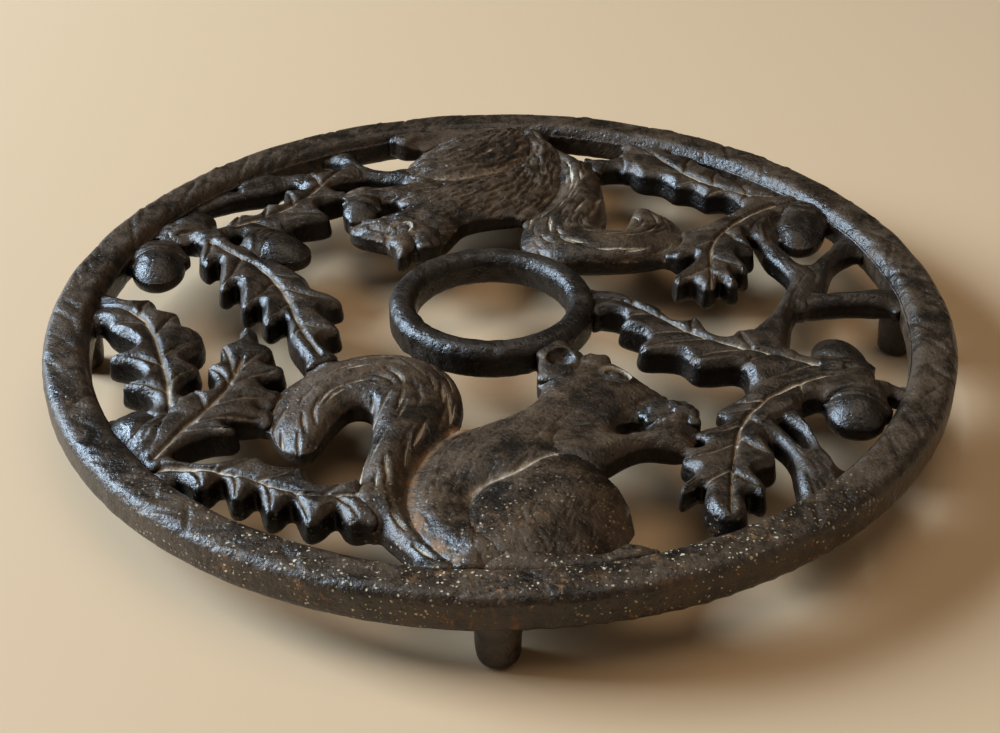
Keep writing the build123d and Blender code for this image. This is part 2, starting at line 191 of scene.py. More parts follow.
def findWalls():
    low, high = wallLook["level"]
    outlines = {}
    crowns = {}
    for node, piece in cast.items():
        points = readPoints(piece)
        rise = readNormals(piece)[:, 2]
        steep = np.abs(rise) < wallLook["steep"]
        outlines[node] = points[steep & (points[:, 2] > low) & (points[:, 2] < high), :2]
        crown = points[rise > wallLook["crown"]]
        crowns[node] = (plantTree(crown[:, :2]), crown[:, 2])
    owners = [node for node, spots in outlines.items() for spot in spots]
    tree = plantTree(np.vstack(list(outlines.values())))

    def topAt(node, x, y):
        crownTree, heights = crowns[node]
        return heights[crownTree.find((x, y, 0))[1]]

    def neighbourAt(node, x, y):
        for place, index, gap in tree.find_range((x, y, 0), wallLook["tailTouch"]):
            if owners[index] != node and gap < touchFor(node, owners[index]):
                return owners[index]
        return None

    def stepTo(node, other, x, y):
        held = {node, other} & set(wallLook["unmoved"])
        step = 0 if held else (topAt(other, x, y) - topAt(node, x, y)) / 2
        dips = backDipsBelow if node.startswith("back") else dipsBelow
        step -= dips.get((kindOf(node), kindOf(other)), 0)
        if other == "rim" and kindOf(node) in ("leaf", "twig"):
            step -= wallLook["underRim"]
        return step

    for node, spots in outlines.items():
        free, shared, creases = [], [], []
        sinks = 0 if node in wallLook["unmoved"] else 1
        for x, y in spots:
            other = neighbourAt(node, x, y)
            if other is None:
                free.append((x, y))
            else:
                shared.append((x, y))
                creases.append((*creaseFor(node, other, x, y), stepTo(node, other, x, y), sinks))
        walls[node] = {
            "free": plantTree(free),
            "freeSpots": np.array(free or [nowhere]),
            "shared": plantTree(shared),
            "creases": np.array(creases or [noCrease]),
        }


def roundOff(gap, reach, depth):
    inward = np.clip(gap / reach, 0, 1)
    return depth * (1 - np.sqrt(np.clip(1 - (1 - inward) ** 2, 0, 1)))


# Evens values out between neighbouring points
def calm(piece, values, rounds):
    pairs = np.empty(len(piece.data.edges) * 2, int)
    piece.data.edges.foreach_get("vertices", pairs)
    near, far = pairs.reshape(-1, 2).T
    count = len(values)
    number = np.bincount(near, minlength=count) + np.bincount(far, minlength=count)
    for turn in range(rounds):
        total = np.bincount(near, values[far], count) + np.bincount(far, values[near], count)
        values = 0.5 * values + 0.5 * total / np.maximum(number, 1)
    return values


def calmPoints(piece, points, rounds):
    return np.stack([calm(piece, points[:, axis], rounds) for axis in range(3)], 1)


swellLook = {
    "creaseSharp": 1.5,
    "calmTop": 6,
    "calmSeam": 8,
    "leastGap": 0.05,
    "upright": (0.85, 0.5),
    "draftFree": (0.2, 3.2),
    "draftShared": (0.5, 2.5),
    "sinkReach": (0.1, 1.2),
    "seamReach": (0.8, 2.4),
    "stainReach": 1.4,
}


# Rounds a member's free edges, runs it into its neighbours and says where its seams are
def swellTop(node, points, normals, look):
    wall = walls[node]
    hits = [wall["free"].find((x, y, 0)) for x, y, z in points]
    freeGap = np.array([hit[2] for hit in hits])
    freeSpots = wall["freeSpots"][[hit[1] for hit in hits]]
    hits = [wall["shared"].find((x, y, 0)) for x, y, z in points]
    sharedGap = np.array([hit[2] for hit in hits])
    reach, depth, rust, dust, step, sinks = wall["creases"][[hit[1] for hit in hits]].T
    drop = roundOff(freeGap, look["reach"], look["depth"])
    drop = np.maximum(drop, depth * np.exp(-((sharedGap / reach * swellLook["creaseSharp"]) ** 2)))
    drop -= step * (1 - ease(sharedGap, 0, wallLook["blend"]))
    drop = calm(cast[node], drop, swellLook["calmTop"])
    lift = roundOff(freeGap, look["underReach"], look["underDepth"])
    base = points[:, 2].min()
    span = points[:, 2].max() - base
    level = np.clip((points[:, 2] - base) / span, 0, 1)
    least = swellLook["leastGap"]
    flat = normals[:, :2] / np.maximum(np.hypot(normals[:, 0], normals[:, 1]), least)[:, None]
    inward = (points[:, :2] - freeSpots) / np.maximum(freeGap, least)[:, None]
    upright = ease(np.abs(normals[:, 2]), *swellLook["upright"])[:, None]
    inward = upright * -flat + (1 - upright) * inward
    lean = look.get("draft", 0) * level * (1 - ease(freeGap, *swellLook["draftFree"]))
    lean = lean * ease(sharedGap, *swellLook["draftShared"])
    sink = wallLook["sink"] * sinks * (1 - ease(sharedGap, *swellLook["sinkReach"])) * upright[:, 0]
    points[:, :2] += lean[:, None] * inward + sink[:, None] * flat
    points[:, 2] = base + lift * (1 - level) + (span - drop) * level
    nearSeam = 1 - ease(sharedGap, *swellLook["seamReach"])
    points += nearSeam[:, None] * (calmPoints(cast[node], points, swellLook["calmSeam"]) - points)
    inSeam = np.exp(-((sharedGap / swellLook["stainReach"]) ** 2))
    return {"gap": freeGap, "rust": rust * inSeam, "dust": dust * inSeam}


def lineMask(points, line, width, ends=(1.0, 1.0)):
    total = np.zeros(len(points))
    last = len(line) - 1
    for step in range(last):
        start = np.array(line[step], float)
        run = np.array(line[step + 1], float) - start
        along = np.clip((points[:, :2] - start) @ run / max(run @ run, 0.0001), 0, 1)
        off = points[:, :2] - start - along[:, None] * run
        slim = width * np.interp((step + along) / last, (0, 0.5, 1), (ends[0], 1, ends[1]))
        total = np.maximum(total, np.exp(-((np.hypot(off[:, 0], off[:, 1]) / slim) ** 2)))
    return total


def nearestOnLine(line, spot):
    best = None
    for step, (start, end) in enumerate(zip(line[:-1], line[1:])):
        start = np.array(start, float)
        run = np.array(end, float) - start
        along = float(np.clip((np.array(spot) - start) @ run / (run @ run), 0, 1))
        gap = math.hypot(*(np.array(spot) - start - along * run))
        if best is None or gap < best[0]:
            best = (gap, step + along)
    return best


def pointOnLine(line, place):
    place = min(max(place, 0), len(line) - 1.0001)
    step = int(place)
    start = np.array(line[step], float)
    return start + (place - step) * (np.array(line[step + 1], float) - start)


def turnOnLine(line, place, stride):
    ahead = pointOnLine(line, place + stride) - pointOnLine(line, place - stride)
    return math.atan2(ahead[1], ahead[0])


maskLook = {"calm": 14, "edge": (0.07, 0.24), "hollow": (0.05, 0.22)}


def finishPiece(piece, points, dust, rust):
    piece.data.vertices.foreach_set("co", (points * mm).ravel())
    piece.data.update()
    bulge = ((points - calmPoints(piece, points, maskLook["calm"])) * readNormals(piece)).sum(1)
    writeMask(piece, "dust", dust)
    writeMask(piece, "seam", rust)
    writeMask(piece, "edge", ease(bulge, *maskLook["edge"]))
    # The hollow mask marks concave places, which the paint darkens as painted shade
    writeMask(piece, "hollow", ease(-bulge, *maskLook["hollow"]))


# Rim, feet and centre ring
rimLook = {
    "voxel": 0.55,
    "soften": 3,
    "upper": (0.1, 0.5),
    "reach": 2.6,
    "depth": 0.9,
    "underReach": 1.6,
    "underDepth": 0.6,
    "bevelReach": 3.4,
    "bevelDepth": 1.6,
    "strokes": 190,
    "strokeShift": (-0.4, 0.4),
    "strokeBand": (91.4, 98.4),  # distance from the middle
    "strokeSlant": (18, 55),
    "slantShare": 0.8,  # the other strokes slant the other way
    "strokeLength": (5, 12),
    "strokeWidth": 0.5,
    "strokeEnds": (0.4, 0.4),
    "strokeNear": 8,
    "strokeDepth": 0.5,
    "strokeStrength": (0.4, 1),
    "strokeDust": 0.8,
    "ridgeEvery": 3,
    "ridgeHeight": 0.6,
    "topWave": {"height": 0.3, "size": 15, "seed": 5, "drop": 0.6},
    "outerWall": (96.5, 99.5),
    "wallWave": {"height": 0.3, "drop": 0.7, "stretch": (1, 1, 0.2)},
    "longWave": {"share": 0.6, "size": 24, "seed": 3},
    "fineWave": {"share": 0.4, "size": 4, "seed": 4},
    "rustSpots": [(17, -93.5, 4, 0.6), (52, -79, 5, 0.5), (83, -44, 6, 0.35), (-70, -64, 5, 0.5)],
    "seed": 11,
}


def carveRim():
    look = rimLook
    dice = random.Random(look["seed"])
    piece, points, normals = startPiece("rim")
    upper = ease(normals[:, 2], *look["upper"])
    seams = swellTop("rim", points, normals, look)
    rust = seams["rust"]
    for x, y, reach, strength in look["rustSpots"]:
        away = (points[:, 0] - x) ** 2 + (points[:, 1] - y) ** 2
        rust = np.maximum(rust, strength * np.exp(-(away / reach**2)))
    bearing = np.degrees(np.arctan2(points[:, 1], points[:, 0]))
    radius = np.hypot(points[:, 0], points[:, 1])
    points[:, 2] -= upper * roundOff(radius - radius.min(), look["bevelReach"], look["bevelDepth"])
    groove = np.zeros(len(points))
    ridge = np.zeros(len(points))
    for count in range(look["strokes"]):
        angle = 360 * (count + dice.uniform(*look["strokeShift"])) / look["strokes"] - 180
        reach = dice.uniform(*look["strokeBand"])
        slant = dice.uniform(*look["strokeSlant"]) * (1 if dice.random() < look["slantShare"] else -1)
        middle = reach * heading(math.radians(angle))
        half = heading(math.radians(angle + 90 + slant)) * dice.uniform(*look["strokeLength"]) / 2
        near = np.abs((bearing - angle + 180) % 360 - 180) < look["strokeNear"]
        ends = [middle - half, middle + half]
        mark = lineMask(points[near], ends, look["strokeWidth"], look["strokeEnds"])
        marks = groove if count % look["ridgeEvery"] else ridge
        marks[near] = np.maximum(marks[near], mark * dice.uniform(*look["strokeStrength"]))
    top, wall = look["topWave"], look["wallWave"]
    long, fine = look["longWave"], look["fineWave"]
    uneven = top["height"] * (lumps(points, top["size"], top["seed"]) - top["drop"])
    points[:, 2] += upper * (look["strokeDepth"] * (ridge * look["ridgeHeight"] - groove) + uneven)
    wave = long["share"] * lumps(points, long["size"], long["seed"])
    wave = wave + fine["share"] * lumps(points * wall["stretch"], fine["size"], fine["seed"])
    wave = wall["height"] * (wave - wall["drop"])
    outward = ease(radius, *look["outerWall"]) * (1 - upper)
    points[:, 0] += outward * wave * points[:, 0] / radius
    points[:, 1] += outward * wave * points[:, 1] / radius
    finishPiece(piece, points, np.maximum(groove * look["strokeDust"], seams["dust"]) * upper, rust)


footLook = {
    "voxel": 0.4,
    "soften": 3,
    "rough": 0.12,
    "roughSize": 6,
    "roughFrom": (0.5, 2),
    "rise": 1.1,  # into the rim
    "riseFrom": 1.5,
    "seed": 17,
}


def carveFeet():
    look = footLook
    for side in ("front", "right", "back", "left"):
        piece, points, normals = startPiece("foot_" + side)
        rough = look["rough"] * lumps(points, look["roughSize"], look["seed"]) - look["rough"]
        points += normals * rough[:, None] * ease(points[:, 2], *look["roughFrom"])[:, None]
        top = points[:, 2].max()
        points[:, 2] += look["rise"] * ease(points[:, 2], top - look["riseFrom"], top)
        clean = np.zeros(len(points))
        finishPiece(piece, points, clean, clean)


ringLook = {
    "voxel": 0.4,
    "soften": 3,
    "reach": 3.2,
    "depth": 1.3,
    "underReach": 2.4,
    "underDepth": 1.4,
    "pits": 0.36,
    "coarsePits": {"size": 5, "seed": 21},
    "finePits": {"size": 2.4, "seed": 22},
    "patches": {"size": 16, "seed": 23, "range": (-0.1, 0.35), "least": 0.35},
    "worn": 0.2,
    "dust": 0.5,
    "dustRange": (0.08, 0.25),
}


def carveRing():
    look = ringLook
    piece, points, normals = startPiece("centre_ring")
    seams = swellTop("centre_ring", points, normals, look)
    coarse, fine, patches = look["coarsePits"], look["finePits"], look["patches"]
    patchy = ease(lumps(points, patches["size"], patches["seed"]), *patches["range"])
    pits = lumps(points, coarse["size"], coarse["seed"]) + lumps(points, fine["size"], fine["seed"])
    rough = look["pits"] * pits * 0.5 * (patches["least"] + patchy)
    points += normals * (rough - look["worn"])[:, None]
    finishPiece(piece, points, ease(-rough, *look["dustRange"]) * look["dust"], seams["rust"])


# Oak leaves
leafLook = {
    "voxel": 0.38,
    "soften": 4,
    "upper": (0.25, 0.6),
    "reach": 2.1,
    "depth": 1.8,
    "draft": 0.5,
    "underReach": 2.6,
    "underDepth": 1.6,
    "ribWidth": 0.62,
    "ribUneven": 0.7,
    "ribEnds": (1, 0.6),
    "ribDepth": 0.9,
    "veinWidth": 0.42,
    "veinEnds": (1, 0.4),
    "veinDepth": 0.55,
    "veinInRib": 0.6,
    "veinDust": 0.85,
    "veinBow": 0.12,
    "veinLength": 0.97,
    "lean": 0.75,
    "puff": 0.7,
    "puffReach": 2.9,
    "puffAtVein": 0.75,
    "puffEdge": (0.3, 2.2),
    "lumps": 0.12,
    "lumpSize": 7,
    "ribSeed": 30,
    "lumpSeed": 40,
}
oakLeaves = {
    "left_upper_leaf": {
        "midrib": [(-66.8, -41), (-69, -31), (-72, -22), (-74.6, -14), (-78, -7), (-82, -3), (-89, 0.5)],
        "lobes": [(-64.6, -26), (-65.4, -13), (-72, -2.6), (-79, 2.6), (-86, -9), (-82.4, -21), (-77.8, -31.4)],
    },
    "left_middle_leaf": {
        "midrib": [(-67, -57), (-64, -50), (-59.5, -42), (-56.5, -35), (-55, -28), (-54.4, -23)],
        "lobes": [
            (-63.6, -34), (-61.2, -25.4), (-59.6, -16.6), (-49.4, -18.6), (-46.4, -26.8), (-46.8, -35.6),
            (-48, -43), (-53.4, -48.2),
        ],
    },
    "left_rim_leaf": {
        "midrib": [(-70, -60), (-62, -60.4), (-55, -61.8), (-48.6, -63.8), (-43, -66.8), (-37, -69.4), (-26, -70)],
        "lobes": [
            (-47, -57), (-38, -60.6), (-30, -66), (-56.6, -66.2), (-49.6, -69.4), (-42.6, -73.2),
            (-35.2, -76.4), (-26, -76.6),
        ],
    },
    "left_back_leaf": {
        "midrib": [(-77, 33), (-64, 36.4), (-57, 40.6), (-52, 45), (-47.4, 52), (-44, 60), (-40.6, 67)],
        "lobes": [
            (-63.6, 42), (-57.8, 47.6), (-54, 55), (-48.4, 63.6), (-37.8, 62.6), (-39.8, 51.8),
            (-42.2, 41.8), (-56, 36.4),
        ],
    },
    "left_inner_leaf": {
        "midrib": [
            (-69, 28.5), (-62, 22.4), (-57, 17.6), (-53, 12.4), (-49.8, 6.6), (-47, 0), (-44.8, -7),
            (-42, -14), (-38, -21.6),
        ],
        "lobes": [
            (-69, 19.6), (-63, 8.6), (-56.8, -0.4), (-51.6, -7), (-45.4, -14), (-36, -11), (-36.6, 2.6),
            (-44.8, 12), (-55, 20.6),
        ],
    },
    "right_rim_leaf": {
        "midrib": [
            (75, 50), (66, 50.4), (60.6, 52), (56.4, 54.6), (52, 58), (47.4, 63), (43.4, 69), (40, 75.4),
            (37.4, 82),
        ],
        "lobes": [
            (69, 52.6), (61.4, 57.4), (56, 64), (50.6, 72), (33.6, 75), (37.4, 63.4), (44.8, 57.2),
            (52.2, 52), (60, 48.6),
        ],
    },
    "right_back_leaf": {
        "midrib": [
            (71, 47.6), (66, 44.6), (60.4, 40.4), (55.4, 35), (51.8, 29.4), (50, 24), (49.2, 18), (48.2, 7),
        ],
        "lobes": [(54.6, 41.2), (46, 35), (40.8, 24), (40.4, 10), (53.4, 8.6), (57, 15), (59.2, 24)],
    },
    "right_front_leaf": {
        "midrib": [
            (84, -31.6), (76, -29.6), (67.6, -29.8), (61, -32.6), (55, -36.6), (50.6, -41.8), (47.6, -48),
            (46, -55), (44.4, -62), (42.6, -75),
        ],
        "lobes": [
            (47.6, -37), (44.8, -40.6), (40.4, -49), (36, -57.4), (35, -67), (49.8, -68), (53, -58),
            (52, -47), (62, -36),
        ],
    },
    "right_inner_leaf": {
        "midrib": [(67, -25.6), (59.4, -22.2), (52, -19.4), (45, -16), (40, -12), (34.4, -6), (28, 0), (21.4, 2)],
        "lobes": [
            (52.2, -11.4), (43.2, -6), (36, -3), (29, 3), (26.6, -6.8), (30.4, -14.6), (29.4, -19.6),
            (39, -24), (50, -26.6), (58, -30),
        ],
    },
}


def sideVein(midrib, tip):
    gap, place = nearestOnLine(midrib, tip)
    step = min(int(place), len(midrib) - 2)
    stride = math.dist(midrib[step], midrib[step + 1])
    root = pointOnLine(midrib, place - leafLook["lean"] * gap / stride)
    reach = np.array(tip, float)
    bow = (root + reach) / 2 + leafLook["veinBow"] * (pointOnLine(midrib, place) - root)
    return [root, bow, root + (reach - root) * leafLook["veinLength"]]


def carveLeaves():
    look = leafLook
    for order, (node, leaf) in enumerate(oakLeaves.items()):
        piece, points, normals = startPiece(node)
        upper = ease(normals[:, 2], *look["upper"])
        seams = swellTop(node, points, normals, look)
        uneven = 1 + look["ribUneven"] * lumps(points, look["lumpSize"], look["ribSeed"] + order)
        rib = lineMask(points, leaf["midrib"], look["ribWidth"] * uneven, look["ribEnds"])
        vein = np.zeros(len(points))
        nearRib = lineMask(points, leaf["midrib"], look["puffReach"])
        for tip in leaf["lobes"]:
            line = sideVein(leaf["midrib"], tip)
            vein = np.maximum(vein, lineMask(points, line, look["veinWidth"], look["veinEnds"]))
            nearRib = np.maximum(nearRib, lineMask(points, line, look["puffReach"] * look["puffAtVein"]))
        swell = look["puff"] * (1 - nearRib) * ease(seams["gap"], *look["puffEdge"])
        cut = look["ribDepth"] * rib + look["veinDepth"] * vein * (1 - look["veinInRib"] * rib)
        rough = look["lumps"] * lumps(points, look["lumpSize"], look["lumpSeed"] + order)
        points[:, 2] += upper * (swell - cut + rough)
        dust = np.maximum(np.maximum(rib, look["veinDust"] * vein), seams["dust"])
        finishPiece(piece, points, dust * upper, seams["rust"])


# Squirrels: what a member doesn't say is as in furLook
furLook = {
    "voxel": 0.38,
    "soften": 4,
    "upper": (0.2, 0.6),
    "draft": 0.3,
    "underReach": 3.0,
    "underDepth": 1.8,
    "fur": 0,  # square millimetres for one stroke, 0 is no fur
    "cut": 0,
    "settle": 0.9,
    "faint": 0.45,
    "length": (2.8, 5.0),
    "long": 1,
    "width": 0.3,
    "wide": 1,
    "uneven": (0.8, 1.4),
    "ends": (0.3, 0.3),
    "bends": 4,
    "sway": 0.09,
    "lumps": 0.2,
    "lumpSize": 11,
    "lumpSeed": 60,
}
squirrels = {
    "front_squirrel_torso": {
        "reach": 7.5, "depth": 3.2, "fur": 11, "cut": 0.3, "settle": 0.55, "seed": 1,
        "guides": [
            [(30, -33), (22, -29), (12, -33), (3, -43), (-7, -53), (-12, -66), (-9, -82)],
            [(24, -40), (14, -48), (4, -60), (-6, -74)],
        ],
    },
    "front_squirrel_haunch": {
        "reach": 9, "depth": 3.2, "fur": 14, "cut": 0.26, "settle": 0.5, "seed": 2,
        "guides": [[(14, -60), (6, -66), (0, -76), (4, -85)], [(20, -64), (14, -72), (12, -84)]],
    },
    "front_squirrel_hind_foot": {
        "reach": 3.4, "depth": 2.2, "fur": 30, "cut": 0.1, "settle": 0.3, "seed": 3,
        "guides": [[(0, -87), (28, -85)]],
    },
    "front_squirrel_foreleg": {
        "reach": 4.4, "depth": 2.8, "fur": 12, "cut": 0.26, "settle": 0.5, "seed": 4,
        "guides": [[(12, -54), (24, -52), (36, -48)]],
    },
    "front_squirrel_near_ear": {"reach": 1.4, "depth": 0.9, "seed": 5},
    "front_squirrel_far_ear": {"reach": 3.2, "depth": 3.0, "seed": 6},
    "front_squirrel_tail": {
        "reach": 8.5, "depth": 4.0, "fur": 24, "cut": 0.7, "settle": 1.25, "long": 1.8, "wide": 1.6, "seed": 7,
        "guides": [[
            (-12, -87), (-18, -79), (-22, -69), (-21.5, -58), (-18.5, -47), (-16.5, -38), (-18, -30),
            (-24, -26), (-32, -27.5), (-38, -32), (-41.5, -40), (-40, -52),
        ]],
    },
    "back_squirrel_torso": {
        "reach": 7.5, "depth": 3.4, "fur": 7.4, "cut": 0.75, "settle": 0.93, "faint": 0.75, "wide": 1.6, "seed": 8,
        "guides": [
            [(-34, 38), (-24, 35), (-14, 38), (-4, 46), (6, 56), (9, 68), (7, 84)],
            [(-24, 46), (-14, 54), (-4, 62), (4, 74)],
        ],
    },
    "back_squirrel_haunch": {
        "reach": 9, "depth": 3.2, "fur": 7.4, "cut": 0.75, "settle": 0.93, "faint": 0.75, "wide": 1.6, "seed": 9,
        "guides": [[(-22, 66), (-12, 68), (-2, 76), (4, 86)], [(-20, 78), (-10, 80), (0, 86)]],
    },
    "back_squirrel_hind_foot": {
        "reach": 2.6, "depth": 1.6, "fur": 20, "cut": 0.2, "seed": 10,
        "guides": [[(-28, 86), (2, 89)]],
    },
    "back_squirrel_foreleg": {
        "reach": 4, "depth": 2.6, "fur": 7, "cut": 0.36, "wide": 1.2, "seed": 11,
        "guides": [[(-16, 56), (-26, 54), (-38, 54)]],
    },
    "back_squirrel_near_ear": {"reach": 1.6, "depth": 1.0, "seed": 12},
    "back_squirrel_far_ear": {"reach": 1.8, "depth": 1.4, "seed": 13},
    "back_squirrel_tail": {
        "reach": 8.5, "depth": 4.2, "fur": 17, "cut": 0.6, "settle": 1.2, "long": 1.6, "wide": 1.6, "seed": 14,
        "guides": [[
            (11, 88), (17, 79), (20.5, 69), (20.5, 58), (17.5, 48), (14, 40), (14, 32), (21, 27), (30, 28),
            (37, 32), (39.5, 38), (37, 46),
        ]],
    },
}
eyes = {
    "front_squirrel_torso": {"middle": (24.2, -30.8), "turn": -22, "long": 2.9, "wide": 2.1},
    "back_squirrel_torso": {"middle": (-23.4, 34.4), "turn": -10, "long": 2.3, "wide": 1.6},
}
# Rings of an eye: place and width as shares of its size, then height
eyeLook = {"lid": (1.12, 0.2, 0.5), "groove": (0.8, 0.2, 0.7), "ball": (0, 0.45, 0.25), "dust": (1.02, 0.21)}
lineLook = {"width": 0.45, "depth": 0.5, "dust": 0.7}
faceLines = {
    "front_squirrel_torso": [[(33.6, -37.4), (30.4, -37.2), (28, -39)], [(33.2, -34), (32.6, -35.4)]],
    "back_squirrel_torso": [[(-35.4, 39.6), (-32, 39.4), (-29, 41)], [(-35, 36.6), (-34, 37.8)]],
}
pawLines = {
    "front_squirrel_foreleg": [
        [(38.4, -46), (34, -46.6)], [(38.6, -48.6), (34, -48.8)], [(38, -51.2), (34, -50.8)],
    ],
    "back_squirrel_foreleg": [[(-39, 55), (-35, 55.2)], [(-39, 53.2), (-35, 53.4)]],
}


def flowAt(guides, spot):
    place, line = min((*nearestOnLine(line, spot), line) for line in guides)[1:]
    return turnOnLine(line, place, 0.5)


def furPath(look, spot, length, sway):
    path = [spot]
    for bend in range(look["bends"]):
        path.append(path[-1] + heading(flowAt(look["guides"], path[-1]) + sway) * length / look["bends"])
    return path


def carveFur(points, upper, look):
    dust = np.zeros(len(points))
    if not look["fur"]:
        return dust
    dice = random.Random(look["seed"])
    spread = math.sqrt(look["fur"])
    low = points.min(0)
    high = points.max(0)
    x = low[0]
    while x < high[0]:
        y = low[1]
        while y < high[1]:
            spot = np.array([x + dice.uniform(-0.5, 0.5) * spread, y + dice.uniform(-0.5, 0.5) * spread])
            sway = dice.gauss(0, look["sway"])
            length = dice.uniform(*look["length"]) * look["long"]
            width = look["width"] * look["wide"] * dice.uniform(*look["uneven"])
            strength = dice.uniform(look["faint"], 1)
            near = np.hypot(points[:, 0] - spot[0], points[:, 1] - spot[1]) < length + 1
            if near.any():
                path = furPath(look, spot, length, sway)
                mark = strength * lineMask(points[near], path, width, look["ends"])
                dust[near] = np.maximum(dust[near], mark)
            y += spread
        x += spread
    points[:, 2] -= look["cut"] * dust * upper
    return look["settle"] * dust * upper


def eyeRing(ring, place, width, height=1):
    return height * np.exp(-(((ring - place) / width) ** 2))


def carveEye(points, upper, eye):
    turn = math.radians(eye["turn"])
    side = points[:, :2] - np.array(eye["middle"])
    along = side[:, 0] * math.cos(turn) + side[:, 1] * math.sin(turn)
    across = -side[:, 0] * math.sin(turn) + side[:, 1] * math.cos(turn)
    ring = np.hypot(along / eye["long"], across / eye["wide"])
    lid = eyeRing(ring, *eyeLook["lid"])
    points[:, 2] += upper * (lid - eyeRing(ring, *eyeLook["groove"]) + eyeRing(ring, *eyeLook["ball"]))
    return upper * eyeRing(ring, *eyeLook["dust"])


def carveSquirrels():
    for node, member in squirrels.items():
        look = {**furLook, **member}
        piece, points, normals = startPiece(node)
        upper = ease(normals[:, 2], *look["upper"])
        seams = swellTop(node, points, normals, look)
        points[:, 2] += upper * look["lumps"] * lumps(points, look["lumpSize"], look["seed"] + look["lumpSeed"])
        dust = carveFur(points, upper, look)
        for line in faceLines.get(node, []) + pawLines.get(node, []):
            groove = lineMask(points, line, lineLook["width"]) * upper
            points[:, 2] -= lineLook["depth"] * groove
            dust = np.maximum(dust, lineLook["dust"] * groove)
        if node in eyes:
            dust = np.maximum(dust, carveEye(points, upper, eyes[node]))
        finishPiece(piece, points, np.maximum(dust, seams["dust"] * upper), seams["rust"])


# Acorns: the cup's outer end and the nut's tip
acornLook = {
    "voxel": 0.34,
    "soften": 14,
    "reach": 2.4,
    "depth": 0.5,
    "underReach": 2.6,
    "underDepth": 1.3,
    "bandPitch": 2.0,
    "bandDepth": 0.10,
    "bandFrom": (-0.3, 0.2),
    "bandDust": 0.6,
    "dustFrom": (0.1, 0.5),
    "lumps": 0.06,
    "lumpSize": 5,
    "lumpSeed": 80,
}
nutLook = {**acornLook, "soften": 24}
acorns = {
    "front_squirrel_acorn": ((39, -44.6), (28.9, -39.8)),
    "back_squirrel_acorn": ((-32.8, 51), (-36.4, 41)),
    "left_front_acorn": ((-66, -49), (-79.5, -43)),
    "left_rim_acorn": ((-81.5, 30), (-79.6, 13.4)),
    "left_far_acorn": ((-80, 32), (-72, 46.5)),
    "left_inner_acorn": ((-60.5, 32.5), (-45.4, 26)),
    "right_back_acorn": ((76, 49), (71.2, 28.6)),
    "right_far_acorn": ((73, -30), (72.2, -11.2)),
    "right_rim_acorn": ((74.4, -33.2), (71, -45.6)),
}


def carveAcorns():
    look = acornLook
    for order, (name, (cupEnd, tip)) in enumerate(acorns.items()):
        way = np.array(tip, float) - np.array(cupEnd, float)
        way /= np.linalg.norm(way)
        for half in ("_cup", "_nut"):
            piece, points, normals = startPiece(name + half)
            seams = swellTop(name + half, points, normals, look)
            dust = seams["dust"]
            if half == "_cup":
                along = (points[:, :2] - np.array(cupEnd)) @ way
                band = 0.5 - 0.5 * np.cos(2 * math.pi * along / look["bandPitch"])
                points -= normals * (look["bandDepth"] * band * ease(normals[:, 2], *look["bandFrom"]))[:, None]
                dust = np.maximum(look["bandDust"] * band * ease(normals[:, 2], *look["dustFrom"]), dust)
            rough = look["lumps"] * lumps(points, look["lumpSize"], look["lumpSeed"] + order)
            points += normals * rough[:, None]
            finishPiece(piece, points, dust, seams["rust"])


# Twigs
twigLook = {
    "voxel": 0.36,
    "soften": 4,
    "upper": (0.1, 0.5),
    "reach": 3.0,
    "depth": 2.4,
    "draft": 0.4,
    "underReach": 2.6,
    "underDepth": 1.8,
    "marks": 5,  # for each point of a twig's line
    "markSway": 0.18,
    "markSide": (-2, 2),
    "markHalf": (1.5, 3.2),
    "markWidth": 0.45,
    "markEnds": (0.4, 0.4),
    "markStrength": (0.4, 0.9),
    "markSeed": 200,
    "barkDepth": 0.32,
    "barkDust": 0.7,
    "lumps": 0.18,
    "lumpSize": 6,
    "lumpSeed": 120,
}
twigLines = {
    "left_front_twig": [(-73, -63), (-69, -55), (-67, -47), (-67, -38)],
    "left_back_lower_twig": [(-84, 50), (-73, 52.5), (-64, 57), (-57, 61)],
    "left_back_upper_twig": [(-67, 65), (-60, 62.6), (-54, 62.6), (-47, 62)],
    "back_twig": [(-44, 83), (-40, 75), (-35.5, 67.6), (-29, 65.2), (-21, 65)],
    "back_link_twig": [(23, 70), (28, 70.6), (36, 71.6)],
    "right_back_twig": [(65, 42), (64, 32), (66, 22), (69.4, 13), (66.4, 4), (62, -5), (57, -17)],
    "right_upper_twig": [(69, 10), (75, 18), (81, 26), (87, 33)],
    "right_lower_twig": [(66, 5), (74, 3.4), (83, 4), (94, 6)],
    "right_front_twig": [(52, -43), (56, -50), (58.8, -58), (61.4, -70)],
    "right_front_far_twig": [(57, -38), (60.8, -46), (62.4, -54), (65.4, -68)],
}


def carveTwigs():
    look = twigLook
    for order, (node, line) in enumerate(twigLines.items()):
        piece, points, normals = startPiece(node)
        upper = ease(normals[:, 2], *look["upper"])
        seams = swellTop(node, points, normals, look)
        bark = np.zeros(len(points))
        dice = random.Random(look["markSeed"] + order)
        for count in range(len(line) * look["marks"]):
            place = dice.uniform(0, len(line) - 1)
            turn = turnOnLine(line, place, 0.05) + dice.gauss(0, look["markSway"])
            side = np.array([-math.sin(turn), math.cos(turn)]) * dice.uniform(*look["markSide"])
            middle = pointOnLine(line, place) + side
            half = heading(turn) * dice.uniform(*look["markHalf"])
            mark = lineMask(points, [middle - half, middle + half], look["markWidth"], look["markEnds"])
            bark = np.maximum(bark, mark * dice.uniform(*look["markStrength"]))
        points[:, 2] -= look["barkDepth"] * bark * upper
        rough = look["lumps"] * lumps(points, look["lumpSize"], look["lumpSeed"] + order)
        points += normals * rough[:, None]
        finishPiece(piece, points, np.maximum(bark * look["barkDust"], seams["dust"]) * upper, seams["rust"])


